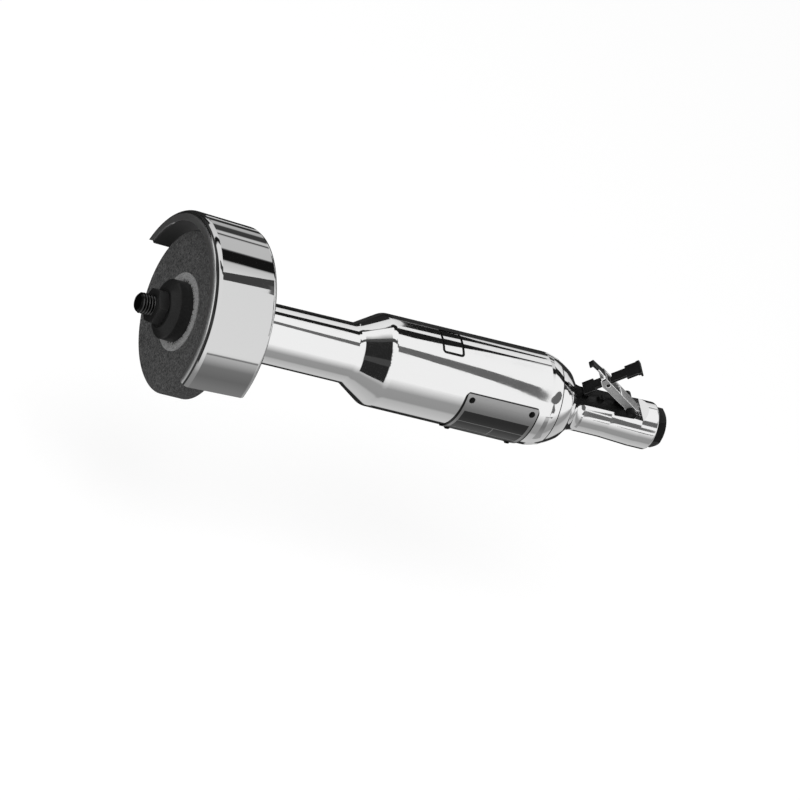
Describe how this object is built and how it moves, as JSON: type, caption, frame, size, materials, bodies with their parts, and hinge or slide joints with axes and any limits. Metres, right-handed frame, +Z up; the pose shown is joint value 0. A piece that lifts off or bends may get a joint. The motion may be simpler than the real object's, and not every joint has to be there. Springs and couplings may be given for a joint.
{
  "type": "straight grinder",
  "caption": "Straight air grinder: guarded grinding wheel on a long nose, polished motor barrel, and a throttle lever with lock-off on the rear handle.",
  "frame": {"origin": "on the spindle axis where the free thread ends, just ahead of the wheel nut", "axes": "+X along the axis back to the air inlet, +Z up on the throttle lever's side, the name plate on the -Y side"},
  "size_m": [0.4444, 0.1526, 0.1388],
  "materials": {
    "polished_aluminium": "polished",
    "guard_steel": "polished",
    "blackened_steel": "satin black oxide",
    "dark_flange_steel": "dark turned",
    "spindle_steel": "turned",
    "lever_steel": "zinc plated",
    "pin_steel": "ground",
    "bearing_steel": "ground",
    "spring_steel": "drawn wire",
    "cast_iron": "ground",
    "bronze": "turned",
    "abrasive": "coarse bonded grit",
    "blotter_paper": "matt paper",
    "felt": "felt",
    "rubber": "matt",
    "vane_laminate": "laminate",
    "plate_aluminium": "satin",
    "screw_steel": "plated"
  },
  "bodies": {
    "tool_body": {"motor_housing": "polished_aluminium", "nose_cap": "spindle_steel", "dust_seal": "felt", "front_bearing_outer_ring": "bearing_steel", "mid_bearing_outer_ring": "bearing_steel", "rotor_front_bearing_outer_ring": "bearing_steel", "rotor_rear_bearing_outer_ring": "bearing_steel", "bearing_snap_ring": "spring_steel", "front_end_plate": "cast_iron", "rear_end_plate": "cast_iron", "motor_cylinder": "cast_iron", "cylinder_dowel": "spindle_steel", "housing_gasket": "rubber", "throttle_handle": "polished_aluminium", "inlet_bushing": "blackened_steel", "inlet_screen": "bronze", "lever_bracket": "blackened_steel", "bracket_screws": "blackened_steel", "lever_pin": "pin_steel", "plunger_bushing": "bronze", "plunger_oring": "rubber", "valve_seat": "bronze", "valve_plug": "bronze", "valve_spring": "spring_steel", "nameplate": "plate_aluminium", "nameplate_screws": "screw_steel"},
    "spindle_assembly": {"spindle": "spindle_steel", "spindle_nut": "dark_flange_steel", "outer_flange": "dark_flange_steel", "outer_blotter": "blotter_paper", "grinding_wheel": "abrasive", "inner_blotter": "blotter_paper", "inner_flange": "dark_flange_steel", "bearing_locknut": "spindle_steel", "drive_coupling": "spindle_steel", "rotor": "spindle_steel", "rotor_vanes": "vane_laminate", "front_bearing_inner_ring": "bearing_steel", "mid_bearing_inner_ring": "bearing_steel", "rotor_front_bearing_inner_ring": "bearing_steel", "rotor_rear_bearing_inner_ring": "bearing_steel"},
    "guard_assembly": {"wheel_guard": "guard_steel", "guard_clamp_screw": "blackened_steel", "guard_clamp_nut": "blackened_steel"},
    "lever_assembly": {"throttle_lever": "lever_steel", "lock_off_pin": "pin_steel", "lock_off_spring": "spring_steel"},
    "lock_off": {"lock_off_lever": "blackened_steel"},
    "plunger_assembly": {"throttle_plunger": "pin_steel", "throttle_valve": "pin_steel"},
    "front_ball_set": {"front_bearing_balls": "bearing_steel", "front_bearing_cage": "bronze"},
    "mid_ball_set": {"mid_bearing_balls": "bearing_steel", "mid_bearing_cage": "bronze"},
    "rotor_front_ball_set": {"rotor_front_bearing_balls": "bearing_steel", "rotor_front_bearing_cage": "bronze"},
    "rotor_rear_ball_set": {"rotor_rear_bearing_balls": "bearing_steel", "rotor_rear_bearing_cage": "bronze"}
  },
  "joints": [
    {"name": "spindle_spin", "type": "hinge", "parent": "tool_body", "child": "spindle_assembly", "pos_m": [0, 0, 0], "axis": [1, 0, 0], "continuous": true},
    {"name": "guard_turn", "type": "hinge", "parent": "tool_body", "child": "guard_assembly", "pos_m": [0.074, 0, 0], "axis": [1, 0, 0], "range_deg": [-90, 90]},
    {"name": "lever_press", "type": "hinge", "parent": "tool_body", "child": "lever_assembly", "pos_m": [0.40034, 0, 0.0155], "axis": [0, -1, 0], "range_deg": [0, 14], "stiffness_Nm_per_rad": 0.6, "springref_deg": -20.05},
    {"name": "lock_off_fold", "type": "hinge", "parent": "lever_assembly", "child": "lock_off", "pos_m": [0.37198, 0, 0.03431], "axis": [0, 1, 0], "range_deg": [0, 65.1]},
    {"name": "plunger_stroke", "type": "slide", "parent": "tool_body", "child": "plunger_assembly", "axis": [0, 0, -1], "range_m": [0, 0.00259], "deforming": ["valve_spring"]},
    {"name": "front_ball_roll", "type": "hinge", "parent": "tool_body", "child": "front_ball_set", "pos_m": [0, 0, 0], "axis": [1, 0, 0], "continuous": true},
    {"name": "mid_ball_roll", "type": "hinge", "parent": "tool_body", "child": "mid_ball_set", "pos_m": [0, 0, 0], "axis": [1, 0, 0], "continuous": true},
    {"name": "rotor_front_ball_roll", "type": "hinge", "parent": "tool_body", "child": "rotor_front_ball_set", "pos_m": [0, 0, 0], "axis": [1, 0, 0], "continuous": true},
    {"name": "rotor_rear_ball_roll", "type": "hinge", "parent": "tool_body", "child": "rotor_rear_ball_set", "pos_m": [0, 0, 0], "axis": [1, 0, 0], "continuous": true}
  ],
  "couplings": [
    {"joint": "lock_off_fold", "follows": "lever_press", "ratio": 4.6429},
    {"joint": "plunger_stroke", "follows": "lever_press", "m_per_rad": 0.010559},
    {"joint": "front_ball_roll", "follows": "spindle_spin", "ratio": 0.3846},
    {"joint": "mid_ball_roll", "follows": "spindle_spin", "ratio": 0.3846},
    {"joint": "rotor_front_ball_roll", "follows": "spindle_spin", "ratio": 0.383},
    {"joint": "rotor_rear_ball_roll", "follows": "spindle_spin", "ratio": 0.383}
  ]
}
